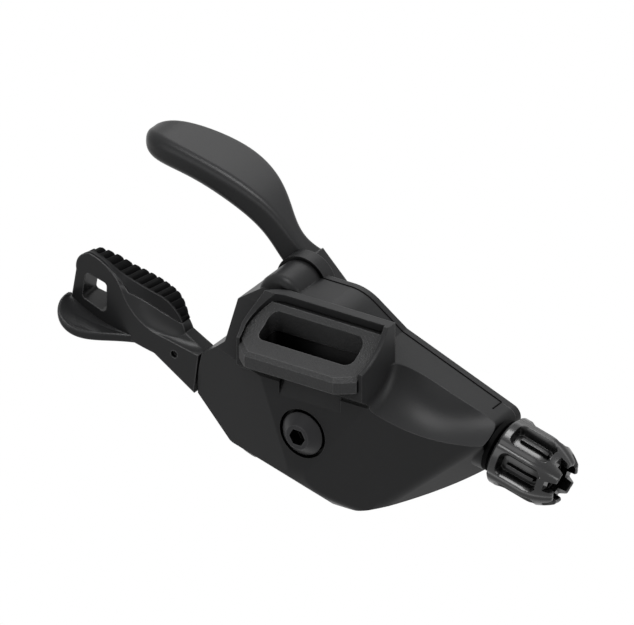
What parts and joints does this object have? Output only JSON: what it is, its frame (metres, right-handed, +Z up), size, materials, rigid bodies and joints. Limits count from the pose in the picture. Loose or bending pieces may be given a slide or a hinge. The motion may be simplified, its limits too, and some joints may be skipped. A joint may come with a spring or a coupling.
{
  "type": "trigger gear shifter",
  "caption": "Thumb-trigger gear shifter for a handlebar: ratchet housing with a slotted clamp seat, push lever, release lever with ribbed grip and a cable adjuster knob.",
  "frame": {"origin": "centre of the clamp slot on the hollow seat of the bracket", "axes": "+X along the handlebar towards the cable nose, +Y backwards along the lever axle, +Z up out of the clamp seat"},
  "size_m": [0.1036, 0.0384, 0.0536],
  "materials": {
    "shell": "fine satin texture, charcoal",
    "bracket": "black anodised, blasted grain",
    "lever": "smooth satin, charcoal",
    "grip": "soft ribbed rubber, near black",
    "knob": "polished, near black",
    "ring": "matt black",
    "dark_steel": "black coated",
    "steel": "plain stamped",
    "spring": "drawn wire",
    "resin": "moulded grey resin"
  },
  "bodies": {
    "body": {"housing": "shell", "mount_bracket": "bracket", "base_plate": "steel", "back_cover": "shell", "cover_screws": "dark_steel", "axle_bolt": "dark_steel", "axle_nut": "dark_steel", "axle_spacer": "resin", "nose_ring": "ring", "spool_spring": "spring", "release_spring": "spring", "main_lever_spring": "spring"},
    "main_lever": {"main_lever": "lever", "pawl_carrier": "steel", "drive_pawl_pin": "steel"},
    "drive_pawl": {"drive_pawl": "steel"},
    "spool": {"cable_spool": "resin", "ratchet_wheel": "steel"},
    "holding_pawl": {"holding_pawl": "steel", "holding_shaft": "steel", "release_arm": "steel"},
    "release_lever": {"release_lever": "lever", "release_grip": "grip", "release_plate": "steel"},
    "adjuster_knob": {"barrel_knob": "knob"},
    "adjuster_bolt": {"barrel_bolt": "dark_steel"}
  },
  "joints": [
    {"name": "main_lever_swing", "type": "hinge", "parent": "body", "child": "main_lever", "pos_m": [0, 0.0202, -0.0176], "axis": [0, -1, 0], "range_deg": [0, 32], "stiffness_Nm_per_rad": 0.06, "springref_deg": -28.65, "deforming": ["main_lever_spring"]},
    {"name": "drive_pawl_lift", "type": "hinge", "parent": "main_lever", "child": "drive_pawl", "pos_m": [0.00502, 0.01155, -0.02705], "axis": [0, -1, 0], "range_deg": [-8, 0], "stiffness_Nm_per_rad": 0.002, "springref_deg": 17.19},
    {"name": "spool_turn", "type": "hinge", "parent": "body", "child": "spool", "pos_m": [0, 0.01, -0.0176], "axis": [0, -1, 0], "range_deg": [0, 165], "stiffness_Nm_per_rad": 0.01, "springref_deg": -28.65, "deforming": ["spool_spring"]},
    {"name": "release_swing", "type": "hinge", "parent": "body", "child": "release_lever", "pos_m": [0, 0.0032, -0.0176], "axis": [0, -1, 0], "range_deg": [0, 9], "stiffness_Nm_per_rad": 0.06, "springref_deg": -28.65, "deforming": ["release_spring"]},
    {"name": "holding_pawl_lift", "type": "hinge", "parent": "body", "child": "holding_pawl", "pos_m": [-0.01192, 0.0072, -0.02303], "axis": [0, -1, 0], "range_deg": [-9, 0]},
    {"name": "knob_turn", "type": "hinge", "parent": "body", "child": "adjuster_knob", "pos_m": [0.04154, 0.0095, -0.01713], "axis": [0.9659, 0, -0.2588], "range_deg": [0, 1080]},
    {"name": "bolt_slide", "type": "slide", "parent": "body", "child": "adjuster_bolt", "axis": [0.9659, 0, -0.2588], "range_m": [0, 0.0024]}
  ],
  "couplings": [
    {"joint": "holding_pawl_lift", "follows": "release_swing", "ratio": -1}
  ]
}
